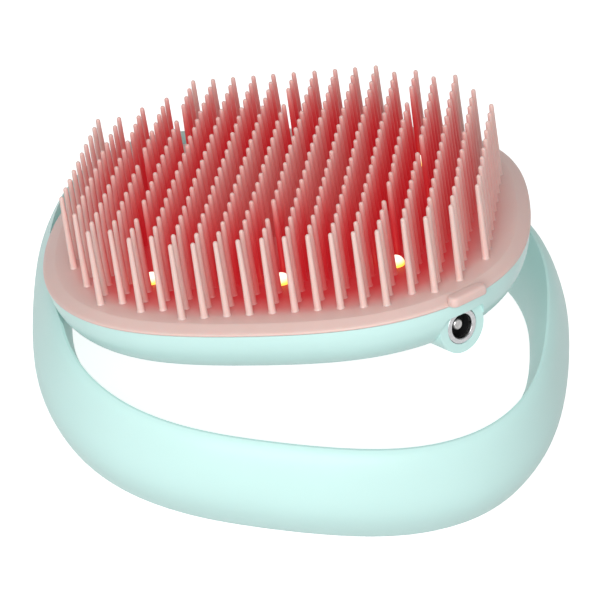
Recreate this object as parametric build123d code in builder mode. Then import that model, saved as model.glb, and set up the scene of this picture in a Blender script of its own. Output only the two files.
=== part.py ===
from build123d import *
import math
import os

# A palm-held scalp massager: an oval head of silicone bristles with red lamps between them,
# tilted on a closed hand strap that stands flat on its lower edge.
# +Z is up, the power socket faces -Y, and the head is built on its own tilted plane.

# Outlines as a mean radius and six harmonics: sin a, cos 2a, sin 3a, cos 4a, sin 5a, cos 6a
HEAD_PLAN = (58.8, 0.98, -2.32, 0.45, 2.14, 0.0, 0.0)
STRAP_PLAN = (60.6, 0.0, -3.6, -1.38, 2.9, -0.15, -0.25)
PLAN_POINTS = 24

# Strap: height above ground against offset from its outline, outside and inside
STRAP_Y = -1.23
STRAP_HEIGHT = 23.0
STRAP_TOP_SLOPE = 0.76
STRAP_OUTSIDE = (
    (0, 1.2),
    (1.2, 2.8),
    (4, 4.25),
    (7.9, 5.5),
    (11.9, 5.45),
    (15.8, 4.35),
    (19.3, 2.95),
    (21.8, 1.45),
    (STRAP_HEIGHT, -0.1),
)
STRAP_INSIDE = (
    (0, -0.75),
    (1.2, -1.8),
    (4, -2.95),
    (8.9, -3.5),
    (13.9, -3.5),
    (18.8, -2.5),
    (21.8, -1.3),
    (STRAP_HEIGHT, -0.7),
)

# Head plane and the pivot that joins it to the strap
HEAD_TILT = 16.2
HEAD_Y = 3.2
HEAD_Z = 37.8
PIVOT_Y = 36.0
PIVOT_Z = 17.0
PIVOT_PIN_R = 1.1
PIVOT_PIN_X = 31.0
PIVOT_BUSH_R = 1.8
BUSH_X = 41.7
BUSH_LENGTH = 2.5
PIN_END_GAP = 0.3
PIVOT_BOSS_R = 3.2
PIVOT_BOSS_LENGTH = 14.0
SWING_STEPS = (-5, 0, 5, 10)
SWING_CLEAR = 0.8
RUNNING_FIT = 0.05
SNUG_FIT = 0.02

# Bristle pad, heights from the bristles' root plane
PITCH = 5.0
BRISTLE_H = 17.8
BRISTLE_FOOT = 0.6
ROOT_R = 0.82
TIP_R = 0.55
PAD_EDGE = -1.5
PAD_EDGE_ROUND = 0.3
PAD_BEVEL = 3.0
PAD_LIFT = 5.0
LAMP_HOLE_R = 2.4
LIP_Y = -63.0
LIP_LENGTH = 10.0
LIP_WIDTH = 3.2
LIP_TOP = 0.7

# Housing shell
SHELL_TOP = -1.8
SHELL_DEPTH = 11.7
SHELL_CURVE = 12.3
SHELL_INSET = 0.3
REBATE_Z = -4.3
REBATE_INSET = 2.3
CAVITY_INSET = 3.6
CAVITY_DEPTH = 7.2
CAVITY_CURVE = 11.0
CURVE_STEPS = (0, 18, 36, 54, 72, 90)

# Inner cover, circuit board, posts and screws
COVER_BOTTOM = -3.8
COVER_INSET = 2.6
BOARD_TOP = -5.8
BOARD_THICK = 1.6
BOARD_INSET = 11.8
NOTCH_Y = -52.0
NOTCH_SIZE = 16.0
POST_R = 2.6
SCREW_R = 1.0
SCREW_CLEAR = 0.1
SCREW_HOLE_TIP = 0.4
BOARD_SCREW_BITE = 2.6
BOARD_SCREW_HOLE = 6.0
COVER_SCREW_LENGTH = 6.0
COVER_SCREW_HOLE = 10.0
SCREW_HEAD_R = 2.1
SCREW_HEAD_H = 1.2
SLOT_WIDTH = 0.6
SLOT_DEPTH = 0.5
COVER_SCREW_XY = 34.6
BOARD_SCREW_X = 13.0
BOARD_SCREW_Y = 36.0

# Parts under the board: place, then size
CHIP_Y = 8.0
CHIP_SIZE = (6.0, 5.0, 1.3)
CAPACITOR_X = -12.0
CAPACITOR_R = 2.6
CAPACITOR_H = 2.4
COIL_X = 12.0
COIL_SIZE = (5.0, 5.0, 2.2)
RESISTOR_SIZE = (3.2, 1.6, 0.6)
RESISTOR_PLACE = 0.7
HEADER_Y = -36.0
HEADER_SIZE = (14.0, 5.0, 2.6)

# Lamps
LAMP_R = 2.1
LAMP_TOP = 2.1
LAMP_FLANGE_R = 2.5
LAMP_FLANGE_H = 1.0
LAMP_CLEAR = 0.2

# Power socket, its axis along the head's -Y; depths are from its face
SOCKET_FACE_Y = -60.0
SOCKET_Z = -8.9
BOSS_R = 6.1
BOSS_STRAIGHT = 14.0
BOSS_END = 26.0
BOSS_END_R = 3.3
POCKET_R = 6.3
POCKET_TOP = 4.0
POCKET_REACH = 12.0
SOCKET_WALL = 3.0
BEZEL_R = 4.0
BEZEL_BORE_R = 2.8
BEZEL_DEPTH = 1.2
BARREL_R = 3.5
BARREL_BORE_R = 3.15
BARREL_DEPTH = 10.0
INSULATOR_DEPTH = 11.0
WELL_DEPTH = 3.2
SOCKET_PIN_R = 1.2
PIN_TIP_DEPTH = 1.3
NUT_DEPTH = 5.1
NUT_R = 4.7
NUT_THICK = 2.0
NUT_POCKET_R = 4.9
NUT_POCKET_DEPTH = 6.0
TAG_X = 1.8
TAG_SIZE = (0.5, 1.6, 2.5)

# Leads from the socket's tags to the header
LEAD_R = 0.65
LEAD_X = 5.0
LEAD_STRAIGHT = 2.6
LEAD_BEND_R = 2.0

# The bristles stand on a square grid turned 45 degrees to the head; each column's first and last row
COLUMN_ROWS = (
    (4, 13), (4, 15), (3, 17), (2, 17), (0, 18), (0, 18), (0, 19), (0, 19), (0, 19), (0, 19),
    (0, 19), (0, 19), (0, 19), (0, 19), (1, 19), (1, 19), (2, 18), (2, 18), (4, 17), (6, 15),
)
LAMP_CELLS = ((4, 4), (9, 3), (15, 4), (3, 9), (16, 10), (4, 15), (10, 16), (15, 15))
HALF_GRID = 9.5


def head_plane(swing):
    """The bristles' root plane when the head has swung up by this many degrees."""
    turn = math.radians(swing)
    slope = math.radians(HEAD_TILT + swing)
    dy = HEAD_Y - PIVOT_Y
    dz = HEAD_Z - PIVOT_Z
    y = PIVOT_Y + dy * math.cos(turn) + dz * math.sin(turn)
    z = PIVOT_Z - dy * math.sin(turn) + dz * math.cos(turn)
    return Plane(origin=(0, y, z), x_dir=(1, 0, 0), z_dir=(0, math.sin(slope), math.cos(slope)))


def plan_radius(plan, a):
    """The outline's radius at an angle."""
    r = plan[0]
    for k in range(1, len(plan)):
        r += plan[k] * (math.sin(k * a) if k % 2 else math.cos(k * a))
    return r


def plan_face(plane, plan, grow):
    """A closed outline on a plane, grown outwards by an offset."""
    points = []
    for i in range(PLAN_POINTS):
        a = 2 * math.pi * i / PLAN_POINTS
        r = plan_radius(plan, a) + grow
        points.append((r * math.cos(a), r * math.sin(a)))
    with BuildSketch(plane) as outline:
        with BuildLine():
            Spline(*points, periodic=True)
        make_face()
    return outline.sketch


def strap_sections(profile):
    """Outlines of the strap for one side of its section, level at the foot and sloping a little above."""
    sections = []
    for z, grow in profile:
        slope = math.radians(STRAP_TOP_SLOPE * z / STRAP_HEIGHT)
        level = Plane(
            origin=(0, STRAP_Y, z),
            x_dir=(1, 0, 0),
            z_dir=(0, math.sin(slope), math.cos(slope)),
        )
        sections.append(plan_face(level, STRAP_PLAN, grow))
    return sections


def bowl_sections(plane, top, depth, inset, curve):
    """Outlines of a bowl that rounds under by a quarter ellipse to a flat floor."""
    sections = []
    for degrees in CURVE_STEPS:
        t = math.radians(degrees)
        level = plane.offset(top - depth * math.sin(t))
        sections.append(plan_face(level, HEAD_PLAN, -inset - curve * (1 - math.cos(t))))
    return sections


def tube(plane, outer, inner, length):
    """A round tube standing on a plane."""
    with BuildPart() as made:
        with BuildSketch(plane):
            Circle(outer)
            Circle(inner, mode=Mode.SUBTRACT)
        extrude(amount=length)
    return made.part


def rod(plane, radius, length):
    """A round rod standing on a plane."""
    with BuildPart() as made:
        with BuildSketch(plane):
            Circle(radius)
        extrude(amount=length)
    return made.part


def pivot_plane(side, x):
    """The plane across the pivot axis at this distance out on one side, facing outwards."""
    return Plane(origin=(side * x, PIVOT_Y, PIVOT_Z), x_dir=(0, 1, 0), z_dir=(side, 0, 0))


def head_site(x, y, z):
    """A plane parallel to the head's at a point given in the head's own frame."""
    return Plane(origin=head.from_local_coords(Vector(x, y, z)), x_dir=head.x_dir, z_dir=head.z_dir)


def cell_site(column, row):
    """The head-frame place of a grid cell."""
    along = (column - HALF_GRID) * PITCH
    back = (HALF_GRID - row) * PITCH
    return ((along + back) / math.sqrt(2), (back - along) / math.sqrt(2))


def four_sites(x, y):
    """The four places at these distances either side of the head's middle."""
    return [(-x, -y), (-x, y), (x, -y), (x, y)]


def screw(x, y, under_head, length):
    """A slotted screw standing point down at a place on the head."""
    with BuildPart() as made:
        add(rod(head_site(x, y, under_head - length), SCREW_R, length))
        add(rod(head_site(x, y, under_head), SCREW_HEAD_R, SCREW_HEAD_H))
        with BuildSketch(head_site(x, y, under_head + SCREW_HEAD_H - SLOT_DEPTH)):
            Rectangle(3 * SCREW_HEAD_R, SLOT_WIDTH)
        extrude(amount=2 * SLOT_DEPTH, mode=Mode.SUBTRACT)
    return made.part


head = head_plane(0)
head_axis = Axis(head.origin, head.z_dir)
socket_face = Plane(
    origin=head.from_local_coords(Vector(0, SOCKET_FACE_Y, SOCKET_Z)),
    x_dir=head.x_dir,
    z_dir=head.y_dir * -1,
)
socket_axis = Axis(socket_face.origin, socket_face.z_dir)
cells = [(c, r) for c, (first, last) in enumerate(COLUMN_ROWS) for r in range(first, last + 1)]
bristle_sites = [cell_site(c, r) for c, r in cells if (c, r) not in LAMP_CELLS]
lamp_sites = [cell_site(c, r) for c, r in LAMP_CELLS]
cover_screw_sites = four_sites(COVER_SCREW_XY, COVER_SCREW_XY)
board_screw_sites = four_sites(BOARD_SCREW_X, BOARD_SCREW_Y)
board_bottom = BOARD_TOP - BOARD_THICK
floor_z = REBATE_Z - CAVITY_DEPTH
cover_seat = SHELL_TOP - SCREW_HEAD_H
bush_end = BUSH_X + BUSH_LENGTH
sides = (-1, 1)

os.makedirs("parts", exist_ok=True)

# Hand strap: a closed band with a convex outer face, relieved inside for the head's swing and pad's lift
with BuildPart() as hand_strap:
    loft(sections=strap_sections(STRAP_OUTSIDE))
    loft(sections=strap_sections(STRAP_INSIDE), mode=Mode.SUBTRACT)
    for swing in SWING_STEPS:
        swung = head_plane(swing)
        loft(
            sections=bowl_sections(swung, SHELL_TOP, SHELL_DEPTH, SHELL_INSET - SWING_CLEAR, SHELL_CURVE),
            mode=Mode.SUBTRACT,
        )
        extrude(
            plan_face(swung.offset(SHELL_TOP - RUNNING_FIT), HEAD_PLAN, SWING_CLEAR),
            amount=PAD_LIFT + LIP_TOP + SWING_CLEAR - SHELL_TOP,
            mode=Mode.SUBTRACT,
        )
    for side in sides:
        add(
            rod(pivot_plane(side, PIVOT_PIN_X), PIVOT_BUSH_R + SNUG_FIT, bush_end - PIVOT_PIN_X),
            mode=Mode.SUBTRACT,
        )
hand_strap.part.label = "hand_strap"
export_step(hand_strap.part, "parts/hand_strap.step")

# Pivot bushes, one in each side of the strap
with BuildPart() as pivot_bushes:
    for side in sides:
        add(tube(pivot_plane(side, BUSH_X), PIVOT_BUSH_R, PIVOT_PIN_R + RUNNING_FIT, BUSH_LENGTH))
pivot_bushes.part.label = "pivot_bushes"
export_step(pivot_bushes.part, "parts/pivot_bushes.step")

# Pivot pins, pressed into the housing and turning in the bushes
with BuildPart() as pivot_pins:
    for side in sides:
        add(rod(pivot_plane(side, PIVOT_PIN_X), PIVOT_PIN_R, bush_end - PIVOT_PIN_X - PIN_END_GAP))
    chamfer(pivot_pins.edges().filter_by(GeomType.CIRCLE), PIVOT_PIN_R / 5)
pivot_pins.part.label = "pivot_pins"
export_step(pivot_pins.part, "parts/pivot_pins.step")

# The housing's hollow, with the posts, pivot bosses and socket wall left standing in it
with BuildPart() as hollow:
    loft(sections=bowl_sections(head, REBATE_Z, CAVITY_DEPTH, CAVITY_INSET, CAVITY_CURVE))
    for x, y in board_screw_sites:
        add(rod(head_site(x, y, floor_z - 1), POST_R, board_bottom - floor_z + 1), mode=Mode.SUBTRACT)
    for x, y in cover_screw_sites:
        add(rod(head_site(x, y, floor_z - 1), POST_R, COVER_BOTTOM - floor_z + 1), mode=Mode.SUBTRACT)
    for side in sides:
        add(rod(pivot_plane(side, PIVOT_PIN_X - 1), PIVOT_BOSS_R, PIVOT_BOSS_LENGTH), mode=Mode.SUBTRACT)
    add(rod(socket_face.offset(-SOCKET_WALL), BOSS_R, SOCKET_WALL + 1), mode=Mode.SUBTRACT)
    extrude(plan_face(head.offset(REBATE_Z), HEAD_PLAN, -REBATE_INSET), amount=SHELL_TOP - REBATE_Z + 1)
    for x, y in cover_screw_sites:
        add(rod(head_site(x, y, REBATE_Z), POST_R, COVER_BOTTOM - REBATE_Z), mode=Mode.SUBTRACT)

# Housing shell: a shallow bowl with the socket's boss hanging below its rim at the front
with BuildPart() as housing_shell:
    loft(sections=bowl_sections(head, SHELL_TOP, SHELL_DEPTH, SHELL_INSET, SHELL_CURVE))
    with BuildSketch(socket_face):
        Circle(BOSS_R)
    extrude(amount=-BOSS_STRAIGHT)
    with BuildSketch(socket_face.offset(-BOSS_STRAIGHT)):
        Circle(BOSS_R)
    with BuildSketch(socket_face.offset(-BOSS_END)):
        Circle(BOSS_END_R)
    loft()
    add(hollow.part, mode=Mode.SUBTRACT)
    with BuildSketch(socket_face):
        Circle(POCKET_R)
        with Locations((0, POCKET_TOP - POCKET_R)):
            Rectangle(3 * POCKET_R, 2 * POCKET_R, mode=Mode.INTERSECT)
    extrude(amount=POCKET_REACH, mode=Mode.SUBTRACT)
    add(rod(socket_face.offset(-BOSS_STRAIGHT), BARREL_R + RUNNING_FIT, BOSS_STRAIGHT), mode=Mode.SUBTRACT)
    add(rod(socket_face.offset(-BEZEL_DEPTH), BEZEL_R + RUNNING_FIT, BEZEL_DEPTH), mode=Mode.SUBTRACT)
    add(
        rod(socket_face.offset(-NUT_POCKET_DEPTH), NUT_POCKET_R, NUT_POCKET_DEPTH - SOCKET_WALL),
        mode=Mode.SUBTRACT,
    )
    for side in sides:
        hole = rod(pivot_plane(side, PIVOT_PIN_X), PIVOT_PIN_R + SNUG_FIT, PIVOT_BOSS_LENGTH)
        add(hole, mode=Mode.SUBTRACT)
    for x, y in board_screw_sites:
        site = head_site(x, y, floor_z - SCREW_HOLE_TIP)
        add(rod(site, SCREW_R + RUNNING_FIT, BOARD_SCREW_HOLE), mode=Mode.SUBTRACT)
    for x, y in cover_screw_sites:
        site = head_site(x, y, floor_z - SCREW_HOLE_TIP)
        add(rod(site, SCREW_R + RUNNING_FIT, COVER_SCREW_HOLE), mode=Mode.SUBTRACT)
housing_shell.part.label = "housing_shell"
export_step(housing_shell.part, "parts/housing_shell.step")

# Inner cover: closes the shell under the pad, with holes for the lamps and its screws
with BuildPart() as inner_cover:
    extrude(plan_face(head.offset(COVER_BOTTOM), HEAD_PLAN, -COVER_INSET), amount=SHELL_TOP - COVER_BOTTOM)
    for x, y in lamp_sites:
        add(rod(head_site(x, y, COVER_BOTTOM - 1), LAMP_R + LAMP_CLEAR, 4), mode=Mode.SUBTRACT)
    for x, y in cover_screw_sites:
        add(rod(head_site(x, y, COVER_BOTTOM - 1), SCREW_R + SCREW_CLEAR, 4), mode=Mode.SUBTRACT)
        add(rod(head_site(x, y, cover_seat), SCREW_HEAD_R + LAMP_CLEAR, 2), mode=Mode.SUBTRACT)
inner_cover.part.label = "inner_cover"
export_step(inner_cover.part, "parts/inner_cover.step")

# Gasket between the cover's rim and the shell's ledge
with BuildPart() as rim_gasket:
    extrude(plan_face(head.offset(REBATE_Z), HEAD_PLAN, -COVER_INSET), amount=COVER_BOTTOM - REBATE_Z)
    extrude(
        plan_face(head.offset(REBATE_Z), HEAD_PLAN, -CAVITY_INSET),
        amount=COVER_BOTTOM - REBATE_Z,
        mode=Mode.SUBTRACT,
    )
rim_gasket.part.label = "rim_gasket"
export_step(rim_gasket.part, "parts/rim_gasket.step")

# Circuit board, notched in front for the power socket
with BuildPart() as circuit_board:
    extrude(plan_face(head.offset(board_bottom), HEAD_PLAN, -BOARD_INSET), amount=BOARD_THICK)
    with BuildSketch(head_site(0, NOTCH_Y, board_bottom)):
        Rectangle(NOTCH_SIZE, NOTCH_SIZE)
    extrude(amount=BOARD_THICK, mode=Mode.SUBTRACT)
    for x, y in board_screw_sites:
        add(rod(head_site(x, y, board_bottom), SCREW_R + SCREW_CLEAR, BOARD_THICK), mode=Mode.SUBTRACT)
circuit_board.part.label = "circuit_board"
export_step(circuit_board.part, "parts/circuit_board.step")

# Lamps: eight domed lamps on flanges, standing through the cover and the pad
lamp_profile = (
    (0, BOARD_TOP),
    (LAMP_FLANGE_R, BOARD_TOP),
    (LAMP_FLANGE_R, BOARD_TOP + LAMP_FLANGE_H),
    (LAMP_R, BOARD_TOP + LAMP_FLANGE_H),
    (LAMP_R, LAMP_TOP - LAMP_R),
)
for number, (x, y) in enumerate(lamp_sites, start=1):
    site = head_site(x, y, 0)
    with BuildPart() as lamp:
        with BuildSketch(Plane(origin=site.origin, x_dir=site.x_dir, z_dir=site.y_dir * -1)):
            with BuildLine():
                Polyline(*lamp_profile)
                CenterArc((0, LAMP_TOP - LAMP_R), LAMP_R, 0, 90)
                Line((0, LAMP_TOP), (0, BOARD_TOP))
            make_face()
        revolve(axis=Axis(site.origin, site.z_dir))
    lamp.part.label = f"lamp_{number}"
    export_step(lamp.part, f"parts/lamp_{number}.step")

# Parts under the board: driver, capacitor, choke, one resistor for each lamp and the lead header
with BuildPart() as driver_chip:
    with BuildSketch(head_site(0, CHIP_Y, board_bottom)):
        Rectangle(CHIP_SIZE[0], CHIP_SIZE[1])
    extrude(amount=-CHIP_SIZE[2])
    chamfer(driver_chip.faces().sort_by(head_axis)[0].edges(), 0.3)
driver_chip.part.label = "driver_chip"
export_step(driver_chip.part, "parts/driver_chip.step")

with BuildPart() as reservoir_capacitor:
    add(rod(head_site(CAPACITOR_X, 0, board_bottom - CAPACITOR_H), CAPACITOR_R, CAPACITOR_H))
    fillet(reservoir_capacitor.faces().sort_by(head_axis)[0].edges(), 0.4)
reservoir_capacitor.part.label = "reservoir_capacitor"
export_step(reservoir_capacitor.part, "parts/reservoir_capacitor.step")

with BuildPart() as choke_coil:
    with BuildSketch(head_site(COIL_X, 0, board_bottom)):
        RectangleRounded(COIL_SIZE[0], COIL_SIZE[1], 0.8)
    extrude(amount=-COIL_SIZE[2])
choke_coil.part.label = "choke_coil"
export_step(choke_coil.part, "parts/choke_coil.step")

with BuildPart() as lamp_resistors:
    for x, y in lamp_sites:
        with BuildSketch(head_site(RESISTOR_PLACE * x, RESISTOR_PLACE * y, board_bottom)):
            Rectangle(RESISTOR_SIZE[0], RESISTOR_SIZE[1])
        extrude(amount=-RESISTOR_SIZE[2])
lamp_resistors.part.label = "lamp_resistors"
export_step(lamp_resistors.part, "parts/lamp_resistors.step")

with BuildPart() as lead_header:
    with BuildSketch(head_site(0, HEADER_Y + HEADER_SIZE[1] / 2, board_bottom)):
        Rectangle(HEADER_SIZE[0], HEADER_SIZE[1])
    extrude(amount=-HEADER_SIZE[2])
lead_header.part.label = "lead_header"
export_step(lead_header.part, "parts/lead_header.step")

# Power socket: barrel with a bright bezel flush in the boss, insulator with a well, pin, nut and tags
with BuildPart() as socket_barrel:
    add(tube(socket_face.offset(-BARREL_DEPTH), BARREL_R, BARREL_BORE_R, BARREL_DEPTH - BEZEL_DEPTH))
    add(tube(socket_face.offset(-BEZEL_DEPTH), BEZEL_R, BEZEL_BORE_R, BEZEL_DEPTH))
    fillet(socket_barrel.faces().sort_by(socket_axis)[-1].edges(), 0.25)
socket_barrel.part.label = "socket_barrel"
export_step(socket_barrel.part, "parts/socket_barrel.step")

with BuildPart() as socket_insulator:
    core = socket_face.offset(-INSULATOR_DEPTH)
    liner = socket_face.offset(-WELL_DEPTH)
    add(tube(core, BARREL_BORE_R - SNUG_FIT, SOCKET_PIN_R + SNUG_FIT, INSULATOR_DEPTH - WELL_DEPTH))
    add(tube(liner, BARREL_BORE_R - SNUG_FIT, BEZEL_BORE_R, WELL_DEPTH - BEZEL_DEPTH))
socket_insulator.part.label = "socket_insulator"
export_step(socket_insulator.part, "parts/socket_insulator.step")

with BuildPart() as socket_pin:
    add(rod(socket_face.offset(-INSULATOR_DEPTH), SOCKET_PIN_R, INSULATOR_DEPTH - PIN_TIP_DEPTH))
    chamfer(socket_pin.faces().sort_by(socket_axis)[-1].edges(), 0.2)
socket_pin.part.label = "socket_pin"
export_step(socket_pin.part, "parts/socket_pin.step")

with BuildPart() as socket_nut:
    with BuildSketch(socket_face.offset(-NUT_DEPTH)):
        RegularPolygon(NUT_R, 6)
        Circle(BARREL_R + RUNNING_FIT, mode=Mode.SUBTRACT)
    extrude(amount=NUT_THICK)
socket_nut.part.label = "socket_nut"
export_step(socket_nut.part, "parts/socket_nut.step")

with BuildPart() as socket_tags:
    with BuildSketch(socket_face.offset(-INSULATOR_DEPTH)):
        with Locations((-TAG_X, 0), (TAG_X, 0)):
            Rectangle(TAG_SIZE[0], TAG_SIZE[1])
    extrude(amount=-TAG_SIZE[2])
socket_tags.part.label = "socket_tags"
export_step(socket_tags.part, "parts/socket_tags.step")

# Leads from the socket's tags to the header, in the space under the board
lead_level = head_site(0, 0, SOCKET_Z)
lead_start_y = SOCKET_FACE_Y + INSULATOR_DEPTH + TAG_SIZE[2] + RUNNING_FIT
for side, name in zip(sides, ("negative_lead", "positive_lead")):
    route = (
        (side * TAG_X, lead_start_y),
        (side * TAG_X, lead_start_y + LEAD_STRAIGHT),
        (side * LEAD_X, HEADER_Y - LEAD_STRAIGHT),
        (side * LEAD_X, HEADER_Y),
    )
    with BuildPart() as lead:
        with BuildLine(lead_level):
            path = FilletPolyline(*route, radius=LEAD_BEND_R)
        with BuildSketch(Plane(origin=path @ 0, z_dir=path % 0)):
            Circle(LEAD_R)
        sweep(path=path)
    lead.part.label = name
    export_step(lead.part, f"parts/{name}.step")

# Screws that hold the board to its posts, and the cover to the housing
with BuildPart() as board_screws:
    for x, y in board_screw_sites:
        add(screw(x, y, BOARD_TOP, BOARD_THICK + BOARD_SCREW_BITE))
board_screws.part.label = "board_screws"
export_step(board_screws.part, "parts/board_screws.step")

with BuildPart() as cover_screws:
    for x, y in cover_screw_sites:
        add(screw(x, y, cover_seat, COVER_SCREW_LENGTH))
cover_screws.part.label = "cover_screws"
export_step(cover_screws.part, "parts/cover_screws.step")

# One bristle: a slender cone with a round tip, its foot let into the pad
with BuildPart() as bristle:
    with BuildSketch(Plane.XZ):
        with BuildLine():
            Polyline(
                (0, -BRISTLE_FOOT),
                (ROOT_R, -BRISTLE_FOOT),
                (ROOT_R, 0),
                (TIP_R, BRISTLE_H - TIP_R),
            )
            CenterArc((0, BRISTLE_H - TIP_R), TIP_R, 0, 90)
            Line((0, BRISTLE_H), (0, -BRISTLE_FOOT))
        make_face()
    revolve(axis=Axis.Z)

# Bristle pad: one soft moulding with a sloping rim, lamp holes and a finger lip at the front,
# made level and then laid on the head's plane
with BuildPart() as level_pad:
    loft(
        sections=[
            plan_face(Plane.XY.offset(PAD_EDGE), HEAD_PLAN, -SHELL_INSET),
            plan_face(Plane.XY.offset(PAD_EDGE + PAD_EDGE_ROUND), HEAD_PLAN, 0),
            plan_face(Plane.XY, HEAD_PLAN, -PAD_BEVEL),
        ],
        ruled=True,
    )
    with BuildSketch(Plane.XY.offset(PAD_EDGE)):
        with Locations((0, LIP_Y)):
            SlotOverall(LIP_LENGTH, LIP_WIDTH)
    extrude(amount=LIP_TOP - PAD_EDGE)
    fillet(level_pad.faces().sort_by(Axis.Z)[-1].edges(), LIP_TOP)
    with Locations(*lamp_sites):
        Cylinder(LAMP_HOLE_R, 8, mode=Mode.SUBTRACT)
    with Locations(*bristle_sites):
        add(bristle.part)

with BuildPart(head) as bristle_pad:
    add(level_pad.part)
bristle_pad.part.label = "bristle_pad"
export_step(bristle_pad.part, "parts/bristle_pad.step")

whole = Compound([hand_strap.part, housing_shell.part, bristle_pad.part]).bounding_box()
print("overall low", whole.min, "high", whole.max, "bristles", len(bristle_sites))
print("volumes", [round(p.part.volume) for p in (hand_strap, housing_shell, inner_cover, bristle_pad)])
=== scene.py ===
import math
import random

import bmesh
import bpy
from mathutils import Matrix, Vector


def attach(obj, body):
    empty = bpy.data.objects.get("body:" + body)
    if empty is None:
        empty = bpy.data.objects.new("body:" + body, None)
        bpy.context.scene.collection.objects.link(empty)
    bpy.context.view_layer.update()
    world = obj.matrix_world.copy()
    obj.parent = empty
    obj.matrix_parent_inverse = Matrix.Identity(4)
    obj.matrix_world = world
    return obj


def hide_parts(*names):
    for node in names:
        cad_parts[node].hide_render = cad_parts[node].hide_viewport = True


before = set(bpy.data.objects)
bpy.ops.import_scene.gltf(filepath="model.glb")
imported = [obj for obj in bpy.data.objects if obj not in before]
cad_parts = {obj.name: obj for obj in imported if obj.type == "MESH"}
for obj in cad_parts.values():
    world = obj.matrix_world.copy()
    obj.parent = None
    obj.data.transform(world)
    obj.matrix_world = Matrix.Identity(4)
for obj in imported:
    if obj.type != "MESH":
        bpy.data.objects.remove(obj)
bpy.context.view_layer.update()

MM = 0.001

# The head's plane, as the CAD has it: root plane of the bristles, tilted about X
HEAD_TILT = math.radians(16.2)
HEAD_ORIGIN = Vector((0, 3.2, 37.8)) * MM
HEAD_UP = Vector((0, math.sin(HEAD_TILT), math.cos(HEAD_TILT)))
HEAD_BACK = Vector((0, math.cos(HEAD_TILT), -math.sin(HEAD_TILT)))
HEAD_FRAME = Matrix((
    (1, 0, 0, HEAD_ORIGIN.x),
    (0, HEAD_BACK.y, HEAD_UP.y, HEAD_ORIGIN.y),
    (0, HEAD_BACK.z, HEAD_UP.z, HEAD_ORIGIN.z),
    (0, 0, 0, 1),
))


# ---------------------------------------------------------------- camera, floor and light

CAMERA_AZIMUTH = math.radians(-40.28)
CAMERA_ELEVATION = math.radians(38.26)
CAMERA_ROLL = math.radians(2.96)
CAMERA_DISTANCE = 0.70
CAMERA_TARGET = Vector((-0.0046, -0.0076, 0.0236))
CAMERA_LENS = 182.6
CAMERA_SENSOR = 36
CAMERA_NEAR = 0.01

FLOOR_HALF = 6.0
FLOOR_DROP = 0.0002
FLOOR_GREY = (0.6, 0.6, 0.6, 1)
FLOOR_ROUGHNESS = 0.9
FLOOR_GLOW = 0.78
SURROUND = 0.40
WHITE = (1, 1, 1, 1)
LIGHT_TARGET = Vector((0, 0, 0.03))
# name, place, size and watts of each softbox
LIGHTS = (
    ("key", (-0.70, -0.66, 0.62), 0.7, 11.0),
    ("top", (0.1, 0.3, 1.1), 0.8, 1.5),
)


def make_camera():
    """A long lens from the left of the socket, looking down at the bristles."""
    back = Vector((
        math.sin(CAMERA_AZIMUTH) * math.cos(CAMERA_ELEVATION),
        -math.cos(CAMERA_AZIMUTH) * math.cos(CAMERA_ELEVATION),
        math.sin(CAMERA_ELEVATION),
    ))
    data = bpy.data.cameras.new("camera")
    data.sensor_width = CAMERA_SENSOR
    data.lens = CAMERA_LENS
    data.clip_start = CAMERA_NEAR
    camera = bpy.data.objects.new("camera", data)
    bpy.context.scene.collection.objects.link(camera)
    level = back.to_track_quat("Z", "Y").to_matrix().to_4x4()
    place = Matrix.Translation(CAMERA_TARGET + back * CAMERA_DISTANCE)
    camera.matrix_world = place @ level @ Matrix.Rotation(CAMERA_ROLL, 4, "Z")
    bpy.context.scene.camera = camera


def area_light(name, place, size, watts):
    """A square softbox aimed at the object's middle."""
    data = bpy.data.lights.new(name, "AREA")
    data.shape = "SQUARE"
    data.size = size
    data.energy = watts
    light = bpy.data.objects.new(name, data)
    bpy.context.scene.collection.objects.link(light)
    light.location = place
    aim = LIGHT_TARGET - Vector(place)
    light.rotation_euler = aim.to_track_quat("-Z", "Y").to_euler()


def make_floor():
    """A pale floor that glows softly, so the object's shadow on it stays faint."""
    mesh = bpy.data.meshes.new("floor")
    corners = [(x * FLOOR_HALF, y * FLOOR_HALF, 0) for x, y in ((-1, -1), (1, -1), (1, 1), (-1, 1))]
    mesh.from_pydata(corners, [], [(0, 1, 2, 3)])
    floor = bpy.data.objects.new("floor", mesh)
    bpy.context.scene.collection.objects.link(floor)
    floor.location.z = -FLOOR_DROP
    material = bpy.data.materials.new("floor_white")
    material.use_nodes = True
    shader = material.node_tree.nodes["Principled BSDF"]
    shader.inputs["Base Color"].default_value = FLOOR_GREY
    shader.inputs["Roughness"].default_value = FLOOR_ROUGHNESS
    shader.inputs["Emission Color"].default_value = WHITE
    shader.inputs["Emission Strength"].default_value = FLOOR_GLOW
    mesh.materials.append(material)
    floor.visible_diffuse = False


def make_surround():
    """An even white surround, and colours shown as they are."""
    world = bpy.data.worlds.new("surround")
    world.use_nodes = True
    background = world.node_tree.nodes["Background"]
    background.inputs["Color"].default_value = WHITE
    background.inputs["Strength"].default_value = SURROUND
    bpy.context.scene.world = world
    bpy.context.scene.view_settings.view_transform = "Standard"


make_camera()
make_floor()
make_surround()
for light_settings in LIGHTS:
    area_light(*light_settings)


# ---------------------------------------------------------------- materials

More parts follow.
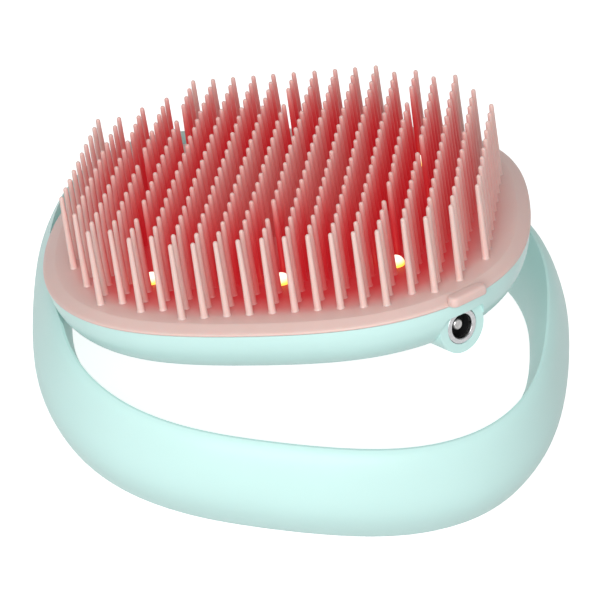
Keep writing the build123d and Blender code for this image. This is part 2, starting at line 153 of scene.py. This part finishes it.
class Nodes:
    """Short calls for building one node tree."""

    def __init__(self, name):
        self.material = bpy.data.materials.new(name)
        self.material.use_nodes = True
        self.tree = self.material.node_tree
        self.shader = self.tree.nodes["Principled BSDF"]

    def add(self, kind, **settings):
        node = self.tree.nodes.new(kind)
        for key, value in settings.items():
            setattr(node, key, value)
        return node

    def link(self, source, target):
        self.tree.links.new(source, target)

    def set(self, **values):
        for key, value in values.items():
            socket = self.shader.inputs[key.replace("_", " ")]
            socket.default_value = (*value, 1) if isinstance(value, tuple) else value

    def place(self):
        """The object's own coordinates, in metres."""
        return self.add("ShaderNodeTexCoord").outputs["Object"]

    def noise(self, scale, detail=3.0, roughness=0.55):
        node = self.add("ShaderNodeTexNoise")
        node.inputs["Scale"].default_value = scale
        node.inputs["Detail"].default_value = detail
        node.inputs["Roughness"].default_value = roughness
        self.link(self.place(), node.inputs["Vector"])
        return node.outputs["Fac"]

    def remap(self, value, low, high, new_low, new_high):
        node = self.add("ShaderNodeMapRange")
        limits = {"From Min": low, "From Max": high, "To Min": new_low, "To Max": new_high}
        for key, number in limits.items():
            node.inputs[key].default_value = number
        self.link(value, node.inputs["Value"])
        return node.outputs["Result"]

    def math(self, operation, a, b=0.0):
        node = self.add("ShaderNodeMath", operation=operation)
        for i, value in enumerate((a, b)):
            if isinstance(value, (int, float)):
                node.inputs[i].default_value = value
            else:
                self.link(value, node.inputs[i])
        return node.outputs[0]

    def mix(self, factor, a, b):
        node = self.add("ShaderNodeMix", data_type="RGBA")
        if isinstance(factor, (int, float)):
            node.inputs[0].default_value = factor
        else:
            self.link(factor, node.inputs[0])
        for i, value in ((6, a), (7, b)):
            if isinstance(value, tuple):
                node.inputs[i].default_value = (*value, 1)
            else:
                self.link(value, node.inputs[i])
        return node.outputs[2]

    def bump(self, height, strength, distance):
        node = self.add("ShaderNodeBump")
        node.inputs["Strength"].default_value = strength
        node.inputs["Distance"].default_value = distance
        self.link(height, node.inputs["Height"])
        self.link(node.outputs["Normal"], self.shader.inputs["Normal"])


# The part of a noise texture's output that is used, and the grains of the finishes, per metre
NOISE_LOW = 0.3
NOISE_HIGH = 0.7
PLASTIC_GRAIN = 900.0
FINE_GRAIN = 2500.0
METAL_GRAIN = 1500.0
DRIFT_SCALE = 28.0
DRIFT_DEPTH = 0.03
PLASTIC_BUMP = 0.25
PLASTIC_BUMP_HEIGHT = 0.03 * MM
PLASTIC_SHINE = 0.28
METAL_BUMP = 0.08
METAL_BUMP_HEIGHT = 0.01 * MM
MINT_SCATTER_SCALE = 3 * MM
MINT_SCATTER_RADIUS = (1.0, 0.8, 0.7)

MINT = (0.57, 0.82, 0.785)
PINK = (0.74, 0.53, 0.485)
BLACK = (0.01, 0.01, 0.011)


def moulded(name, colour, roughness, grain=PLASTIC_GRAIN, scatter=0.0):
    """Moulded plastic or rubber: faint colour drift, fine grain and uneven polish."""
    n = Nodes(name)
    drift = n.remap(n.noise(DRIFT_SCALE, 2.0), NOISE_LOW, NOISE_HIGH, 0.0, 1.0)
    darker = tuple(c * (1 - DRIFT_DEPTH) for c in colour)
    n.link(n.mix(drift, darker, colour), n.shader.inputs["Base Color"])
    fine = n.noise(grain, 4.0)
    polish = n.remap(fine, NOISE_LOW, NOISE_HIGH, roughness - 0.04, roughness + 0.05)
    n.link(polish, n.shader.inputs["Roughness"])
    n.bump(fine, PLASTIC_BUMP, PLASTIC_BUMP_HEIGHT)
    n.set(Specular_IOR_Level=PLASTIC_SHINE)
    if scatter:
        n.set(Subsurface_Weight=scatter, Subsurface_Scale=MINT_SCATTER_SCALE)
        n.shader.inputs["Subsurface Radius"].default_value = MINT_SCATTER_RADIUS
    return n.material


def metal(name, colour, roughness):
    """Plated or turned metal with fine wear in its polish."""
    n = Nodes(name)
    n.set(Base_Color=colour, Metallic=1.0)
    wear = n.noise(METAL_GRAIN, 5.0)
    polish = n.remap(wear, NOISE_LOW, NOISE_HIGH, roughness * 0.6, roughness * 1.5)
    n.link(polish, n.shader.inputs["Roughness"])
    n.bump(wear, METAL_BUMP, METAL_BUMP_HEIGHT)
    return n.material


FINISHES = {
    "hand_strap": moulded("mint_strap", MINT, 0.42, scatter=0.12),
    "housing_shell": moulded("mint_shell", MINT, 0.36, scatter=0.08),
    "inner_cover": moulded("cover_plastic", (0.78, 0.75, 0.72), 0.5),
    "rim_gasket": moulded("gasket_rubber", (0.05, 0.05, 0.055), 0.7),
    "driver_chip": moulded("black_epoxy", (0.012, 0.012, 0.013), 0.55, grain=FINE_GRAIN),
    "lamp_resistors": moulded("resistor_ceramic", (0.02, 0.02, 0.022), 0.4, grain=FINE_GRAIN),
    "reservoir_capacitor": metal("capacitor_can", (0.75, 0.76, 0.78), 0.3),
    "choke_coil": moulded("ferrite", (0.04, 0.04, 0.043), 0.6, grain=FINE_GRAIN),
    "lead_header": moulded("header_plastic", (0.82, 0.79, 0.70), 0.45),
    "socket_insulator": moulded("black_insulator", BLACK, 0.5, grain=FINE_GRAIN),
    "negative_lead": moulded("black_pvc", BLACK, 0.35, grain=FINE_GRAIN),
    "positive_lead": moulded("red_pvc", (0.45, 0.012, 0.01), 0.35, grain=FINE_GRAIN),
    "pivot_bushes": moulded("bush_nylon", (0.80, 0.80, 0.76), 0.45),
    "board_screws": metal("screw_steel", (0.55, 0.55, 0.56), 0.3),
    "socket_barrel": metal("bright_plate", (0.48, 0.48, 0.49), 0.30),
    "socket_pin": metal("pin_plate", (0.50, 0.49, 0.485), 0.40),
}
FINISHES["cover_screws"] = FINISHES["board_screws"]
FINISHES["pivot_pins"] = FINISHES["board_screws"]
for node in ("socket_nut", "socket_tags"):
    FINISHES[node] = FINISHES["socket_barrel"]

TRACK_SCALE = 260.0
TRACK_WIDTH = 0.03
TRACK_HEIGHT = 0.03 * MM
MASK_GREEN = (0.012, 0.10, 0.045)
TRACK_GREEN = (0.03, 0.20, 0.09)

# A lamp's colour changes between these heights over the head's plane
LAMP_SIDE = 0.4 * MM
LAMP_CROWN = 1.5 * MM
LAMP_YELLOW = (0.95, 0.70, 0.10)
LAMP_WHITE = (1.0, 0.96, 0.80)
LAMP_COUNT = 8


def board_material():
    """Solder mask with copper tracks showing faintly under it."""
    n = Nodes("board_green")
    tracks = n.add("ShaderNodeTexBrick")
    tracks.inputs["Scale"].default_value = TRACK_SCALE
    tracks.inputs["Mortar Size"].default_value = TRACK_WIDTH
    n.link(n.place(), tracks.inputs["Vector"])
    green = n.mix(tracks.outputs["Fac"], MASK_GREEN, TRACK_GREEN)
    n.link(green, n.shader.inputs["Base Color"])
    n.set(Roughness=0.3)
    n.bump(tracks.outputs["Fac"], 0.3, TRACK_HEIGHT)
    return n.material


def lamp_material():
    """A lit lamp: white hot at the crown, yellow down its sides."""
    n = Nodes("lamp_resin")
    turn = n.add("ShaderNodeVectorMath", operation="DOT_PRODUCT")
    n.link(n.place(), turn.inputs[0])
    turn.inputs[1].default_value = HEAD_UP
    height = n.math("SUBTRACT", turn.outputs["Value"], HEAD_ORIGIN.dot(HEAD_UP))
    crown = n.remap(height, LAMP_SIDE, LAMP_CROWN, 0.0, 1.0)
    colour = n.mix(crown, LAMP_YELLOW, LAMP_WHITE)
    n.link(colour, n.shader.inputs["Base Color"])
    n.link(colour, n.shader.inputs["Emission Color"])
    n.set(Emission_Strength=1.0, Roughness=0.15, IOR=1.5)
    return n.material


FINISHES["circuit_board"] = board_material()
lamp_finish = lamp_material()
for number in range(1, LAMP_COUNT + 1):
    FINISHES[f"lamp_{number}"] = lamp_finish
for node, finish in FINISHES.items():
    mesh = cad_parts[node].data
    mesh.materials.clear()
    mesh.materials.append(finish)


# ---------------------------------------------------------------- bristle pad

# Mean radius, sin a, cos 2a, sin 3a and cos 4a of the head's outline, in millimetres
HEAD_PLAN = (58.8, 0.98, -2.32, 0.45, 2.14)
PITCH = 5.0 * MM
BRISTLE_HEIGHT = 17.8 * MM
ROOT_RADIUS = 0.82 * MM
TIP_RADIUS = 0.55 * MM
FLARE_TOP = 0.6 * MM
# Share of the root's radius, and height in millimetres, of the flare's rings
FLARE = ((1.22, 0.0), (1.07, 0.25), (1.01, 0.6))
SHAFT_RINGS = 8
TIP_RINGS = 4
TIP_SWEEP = 86.4
BRISTLE_SIDES = 14
LEAN = 0.12
SEED = 7
# The first and last row that each column of the grid holds
COLUMN_ROWS = (
    (4, 13), (4, 15), (3, 17), (2, 17), (0, 18), (0, 18), (0, 19), (0, 19), (0, 19), (0, 19),
    (0, 19), (0, 19), (0, 19), (0, 19), (1, 19), (1, 19), (2, 18), (2, 18), (4, 17), (6, 15),
)
LAMP_CELLS = ((4, 4), (9, 3), (15, 4), (3, 9), (16, 10), (4, 15), (10, 16), (15, 15))
HALF_GRID = 9.5

# The lamps' red light painted on the pad: how it spreads, how far in from the rim it starts, how it fades up
# a bristle
GLOW_REACH = 14 * MM
GLOW_EVEN = 0.62
GLOW_NEAR = 0.6
GLOW_EDGE = 0.07
GLOW_EDGE_WIDTH = 0.17
TIP_LOSS = 0.85
TIP_POWER = 4
# Painted shade: glow is taken off bristle sides that face outward near the rim, with less taken off on the
# side away from the key light
RIM_START = 0.6
RIM_WIDTH = 0.3
RIM_SHADE = 0.45
RIM_SHADE_SIDE = 0.2
# Painted light: the base colour and the emitted glow where the lamps' light is painted at full strength
PAINTED_GLOW_COLOUR = (0.42, 0.02, 0.022)
PAINTED_GLOW_EMISSION = (0.26, 0.003, 0.008)
NO_LIGHT = (0.0, 0.0, 0.0)
PAD_DRIFT_SCALE = 60.0
PAD_GRAIN = 1400.0
PAD_BUMP = 0.08
PAD_BUMP_HEIGHT = 0.01 * MM
PAD_SCATTER_SCALE = 2 * MM
PAD_SCATTER_RADIUS = (1.0, 0.35, 0.25)

PLATE_SIDES = 192
# Height and growth past the outline of the plate's rings, in millimetres: underside, edge, sloping rim
SLOPE_FOOT = (-1.08, -0.12)
SLOPE_RISE = (1.0, -2.7)
SLOPE_STEPS = 4
PLATE_EDGE = ((-1.72, -0.3), (-1.6, -0.04), (-1.3, 0.0), SLOPE_FOOT)
PLATE_SHOULDER = ((-0.02, -3.0), (0.0, -3.25))
TOP_SHARES = (0.94, 0.86, 0.76, 0.64, 0.5, 0.34, 0.17)

LIP_Y = -63.0 * MM
LIP_LENGTH = 10.0 * MM
LIP_WIDTH = 3.2 * MM
LIP_TOP = 0.7 * MM
LIP_FOOT = -1.5 * MM
LIP_SIDES = 48
LIP_ROUND = 0.7 * MM
LIP_ROUND_RINGS = 6
LIP_CROWN = 0.02 * MM
# Height over the foot and pull in from the side of the lip's lowest rings, in millimetres
LIP_FOOT_RINGS = ((0.0, 0.35), (0.15, 0.1), (0.4, 0.0))
# Further pull in of the two rings on its crown, in millimetres
LIP_CROWN_RINGS = (0.3, 0.6)


def cell_site(column, row):
    """The place of a grid cell on the head's plane, in metres."""
    along = (column - HALF_GRID) * PITCH
    back = (HALF_GRID - row) * PITCH
    return (along + back) / math.sqrt(2), (back - along) / math.sqrt(2)


LAMP_SITES = [cell_site(c, r) for c, r in LAMP_CELLS]


def clamp(value):
    """The value held between 0 and 1."""
    return min(1.0, max(0.0, value))


def outline_radius(angle):
    """The head's outline: a mean radius and four harmonics."""
    radius = HEAD_PLAN[0]
    for k in range(1, len(HEAD_PLAN)):
        radius += HEAD_PLAN[k] * (math.sin(k * angle) if k % 2 else math.cos(k * angle))
    return radius * MM


def glow_at(x, y):
    """How strongly the lamps' light is painted at this place between the bristles, 0 to 1."""
    spans = [(x - u) ** 2 + (y - v) ** 2 for u, v in LAMP_SITES]
    total = sum(math.exp(-span / GLOW_REACH ** 2) for span in spans)
    edge = 1 - math.hypot(x, y) / outline_radius(math.atan2(y, x))
    inside = clamp((edge - GLOW_EDGE) / GLOW_EDGE_WIDTH)
    return min(1.0, GLOW_EVEN + GLOW_NEAR * total) * inside * inside * (3 - 2 * inside)


def facing_in(x, y, nx, ny):
    """How far a bristle's side is turned to the lamps' light, as painted shade on the painted glow: all of
    it deep inside, one side near the rim.

    On the side away from the key light the painted shade is lighter, so more of the lamps' own light shows."""
    reach = math.hypot(x, y)
    outward = (nx * x + ny * y) / max(reach, MM)
    rim = clamp((reach / outline_radius(math.atan2(y, x)) - RIM_START) / RIM_WIDTH)
    shade = RIM_SHADE - RIM_SHADE_SIDE * x / max(reach, MM)
    return 1 - rim * shade * (1 + outward)


def skin(bm, loops):
    """Join rings of equal count, one above the other, and close the top one."""
    for low, high in zip(loops, loops[1:]):
        for i in range(len(low)):
            j = (i + 1) % len(low)
            bm.faces.new((low[i], low[j], high[j], high[i]))
    bm.faces.new(loops[-1])


def bristle_rings():
    """Radius and height of a bristle's rings: flared root, tapering shaft, round tip."""
    rings = [(ROOT_RADIUS * share, z * MM) for share, z in FLARE]
    shaft_top = BRISTLE_HEIGHT - TIP_RADIUS
    for step in range(1, SHAFT_RINGS + 1):
        t = step / SHAFT_RINGS
        radius = ROOT_RADIUS + (TIP_RADIUS - ROOT_RADIUS) * t
        rings.append((radius, FLARE_TOP + (shaft_top - FLARE_TOP) * t))
    for step in range(1, TIP_RINGS + 1):
        a = math.radians(TIP_SWEEP * step / TIP_RINGS)
        rings.append((TIP_RADIUS * math.cos(a), shaft_top + TIP_RADIUS * math.sin(a)))
    return rings


def add_bristle(bm, glow, x, y, lean):
    """One bristle; each of its rings carries the painted glow at its height."""
    here = glow_at(x, y)
    loops = []
    for radius, z in bristle_rings():
        share = z / BRISTLE_HEIGHT
        bend = lean * share * share
        ring = []
        for i in range(BRISTLE_SIDES):
            a = 2 * math.pi * i / BRISTLE_SIDES
            across, along = math.cos(a), math.sin(a)
            vert = bm.verts.new((x + bend[0] + radius * across, y + bend[1] + radius * along, z))
            # Painted light and shade: the glow here, fading toward the tip and painted darker on sides
            # turned away from the lamps
            vert[glow] = here * (1 - TIP_LOSS * share ** TIP_POWER) * facing_in(x, y, across, along)
            ring.append(vert)
        loops.append(ring)
    skin(bm, loops)


def add_base(bm, glow):
    """The pad's plate: flat top, sloping rim, edge and underside, ringed finely enough to carry the painted
    glow.
    """
    levels = [(1.0, z, grow) for z, grow in PLATE_EDGE]
    for step in range(1, SLOPE_STEPS + 1):
        t = step / SLOPE_STEPS
        levels.append((1.0, SLOPE_FOOT[0] + SLOPE_RISE[0] * t, SLOPE_FOOT[1] + SLOPE_RISE[1] * t))
    levels += [(1.0, z, grow) for z, grow in PLATE_SHOULDER]
    levels += [(share, *PLATE_SHOULDER[-1]) for share in TOP_SHARES]
    loops = []
    for scale, z, grow in levels:
        ring = []
        for i in range(PLATE_SIDES):
            a = 2 * math.pi * i / PLATE_SIDES
            r = (outline_radius(a) + grow * MM) * scale
            x, y = r * math.cos(a), r * math.sin(a)
            vert = bm.verts.new((x, y, z * MM))
            vert[glow] = glow_at(x, y)
            ring.append(vert)
        loops.append(ring)
    skin(bm, loops)
    bm.faces.new(list(reversed(loops[0])))


def add_lip(bm, glow):
    """The finger lip: a soft bar with round ends across the pad's front edge, in rings of its outline."""
    half = (LIP_LENGTH - LIP_WIDTH) / 2
    levels = [(LIP_FOOT + z * MM, pull * MM) for z, pull in LIP_FOOT_RINGS]
    for step in range(LIP_ROUND_RINGS):
        a = math.radians(90 / (LIP_ROUND_RINGS - 1) * step)
        levels.append((LIP_TOP - LIP_ROUND * (1 - math.sin(a)), LIP_ROUND * (1 - math.cos(a))))
    levels += [(LIP_TOP + LIP_CROWN, LIP_ROUND + pull * MM) for pull in LIP_CROWN_RINGS]
    loops = []
    for z, pull in levels:
        radius = LIP_WIDTH / 2 - pull
        ring = []
        for i in range(LIP_SIDES):
            a = 2 * math.pi * i / LIP_SIDES
            end = half if math.cos(a) > 0 else -half
            vert = bm.verts.new((end + radius * math.cos(a), LIP_Y + radius * math.sin(a), z))
            vert[glow] = 0.0
            ring.append(vert)
        loops.append(ring)
    skin(bm, loops)
    bm.faces.new(list(reversed(loops[0])))


def pad_material():
    """Translucent pink silicone, with the lamps' red light from between the bristles painted into its colour
    and a painted red glow.
    """
    n = Nodes("pink_silicone")
    glow = n.add("ShaderNodeAttribute", attribute_name="glow").outputs["Fac"]
    drift = n.remap(n.noise(PAD_DRIFT_SCALE, 3.0), NOISE_LOW, NOISE_HIGH, 0.0, 1.0)
    plain = n.mix(drift, tuple(c * (1 - DRIFT_DEPTH) for c in PINK), PINK)
    # Painted light: the glow attribute turns the colour red and makes the silicone glow, though it is no
    # lamp
    n.link(n.mix(glow, plain, PAINTED_GLOW_COLOUR), n.shader.inputs["Base Color"])
    n.link(n.mix(glow, NO_LIGHT, PAINTED_GLOW_EMISSION), n.shader.inputs["Emission Color"])
    n.set(Emission_Strength=0.8, Sheen_Weight=0.05)
    n.set(Subsurface_Weight=0.25, Subsurface_Scale=PAD_SCATTER_SCALE)
    n.shader.inputs["Subsurface Radius"].default_value = PAD_SCATTER_RADIUS
    fine = n.noise(PAD_GRAIN, 4.0)
    n.link(n.remap(fine, NOISE_LOW, NOISE_HIGH, 0.44, 0.52), n.shader.inputs["Roughness"])
    n.bump(fine, PAD_BUMP, PAD_BUMP_HEIGHT)
    return n.material


def make_pad():
    """The pad as one mesh in the head's own frame, then laid on the head."""
    rng = random.Random(SEED)
    bm = bmesh.new()
    glow = bm.verts.layers.float.new("glow")
    add_base(bm, glow)
    add_lip(bm, glow)
    for column, (first, last) in enumerate(COLUMN_ROWS):
        for row in range(first, last + 1):
            if (column, row) in LAMP_CELLS:
                continue
            x, y = cell_site(column, row)
            lean = Vector((rng.uniform(-LEAN, LEAN), rng.uniform(-LEAN, LEAN))) * MM
            add_bristle(bm, glow, x, y, lean)
    bmesh.ops.recalc_face_normals(bm, faces=bm.faces)
    mesh = bpy.data.meshes.new("silicone_pad")
    bm.to_mesh(mesh)
    bm.free()
    mesh.transform(HEAD_FRAME)
    mesh.polygons.foreach_set("use_smooth", [True] * len(mesh.polygons))
    mesh.materials.append(pad_material())
    pad = bpy.data.objects.new("silicone_pad", mesh)
    bpy.context.scene.collection.objects.link(pad)
    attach(pad, "pad")
    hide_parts("bristle_pad")


make_pad()
